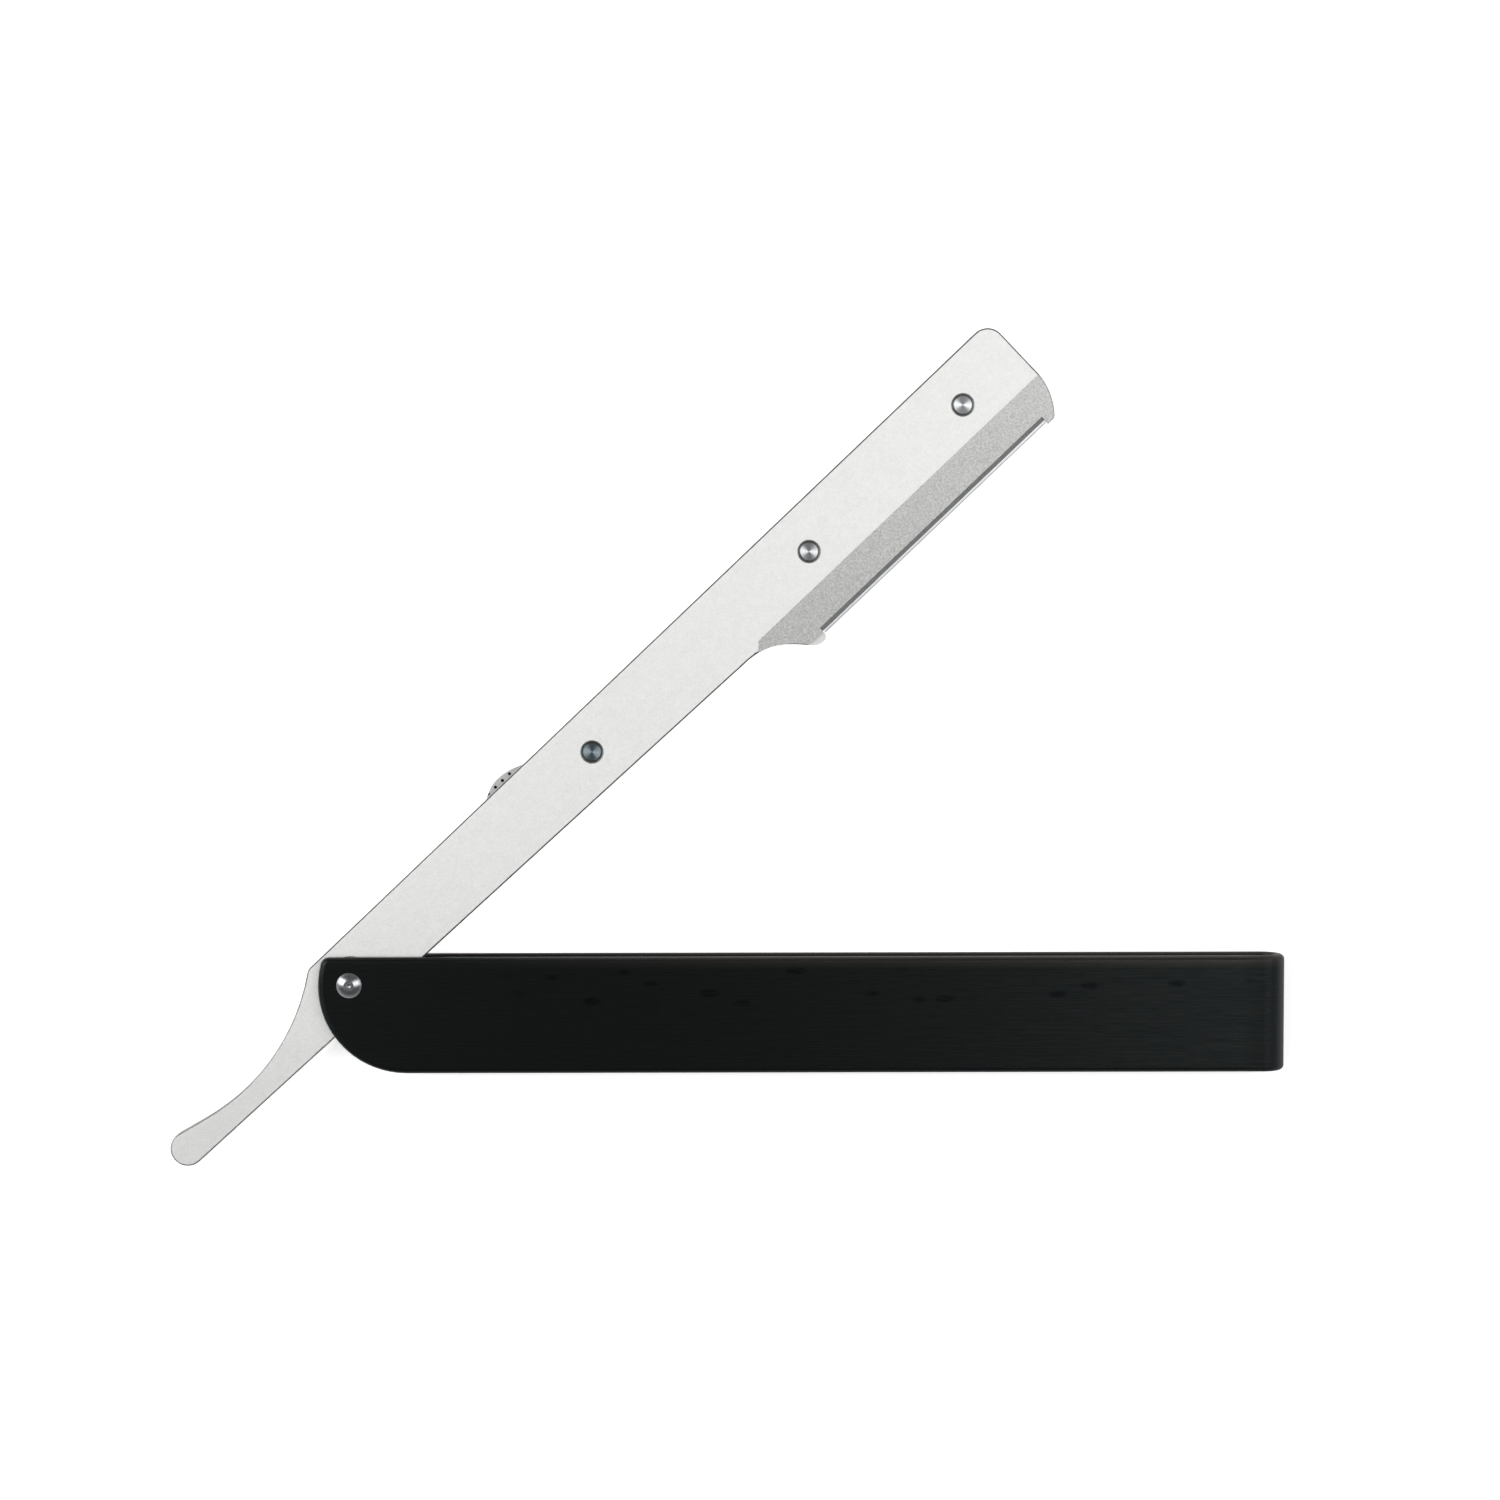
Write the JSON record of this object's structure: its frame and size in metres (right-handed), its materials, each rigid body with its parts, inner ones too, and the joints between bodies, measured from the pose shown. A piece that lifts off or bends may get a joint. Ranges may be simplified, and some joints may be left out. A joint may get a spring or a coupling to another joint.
{
  "type": "straight razor",
  "caption": "Folding barber's razor: hairpin handle, split flat blade holder with a curved tail, swing-open rear leaf and a replaceable half blade.",
  "frame": {"origin": "centre of the handle's back face, which the razor lies on", "axes": "+X along the handle from the pivot to the bend, +Y towards the side the holder opens to, +Z out of the handle's front wall"},
  "size_m": [0.1379, 0.1031, 0.0062],
  "materials": {
    "black_anodised": "black anodised, brushed along its length",
    "polished_steel": "polished",
    "black_nylon": "matte",
    "satin_aluminium": "fine satin, tumbled",
    "satin_aluminium_rear": "fine satin, tumbled",
    "turned_steel": "fine turned rings",
    "magnet_nickel": "nickel plated",
    "blade_steel": "polished strip with a ground edge"
  },
  "bodies": {
    "handle": {"handle_scale": "black_anodised", "pivot_rivet": "polished_steel", "front_washer": "black_nylon", "rear_washer": "black_nylon"},
    "holder": {"main_leaf": "satin_aluminium", "leaf_pivot_pin": "turned_steel", "blade_pin_lower": "turned_steel", "blade_pin_upper": "turned_steel", "main_magnet_lower": "magnet_nickel", "main_magnet_upper": "magnet_nickel"},
    "rear_leaf": {"swing_leaf": "satin_aluminium_rear", "swing_magnet_lower": "magnet_nickel", "swing_magnet_upper": "magnet_nickel"},
    "blade": {"razor_blade": "blade_steel"}
  },
  "joints": [
    {"name": "handle_fold", "type": "hinge", "parent": "handle", "child": "holder", "pos_m": [-0.05575, 0.00379, 0.0028], "axis": [0, 0, 1], "range_deg": [-43.5, 226.5]},
    {"name": "leaf_swing", "type": "hinge", "parent": "holder", "child": "rear_leaf", "pos_m": [-0.0258, 0.0324, 0.0028], "axis": [0, 0, 1], "range_deg": [0, 90]},
    {"name": "blade_slide", "type": "slide", "parent": "holder", "child": "blade", "axis": [0.6884, -0.7254, 0], "range_m": [0, 0.014]}
  ]
}
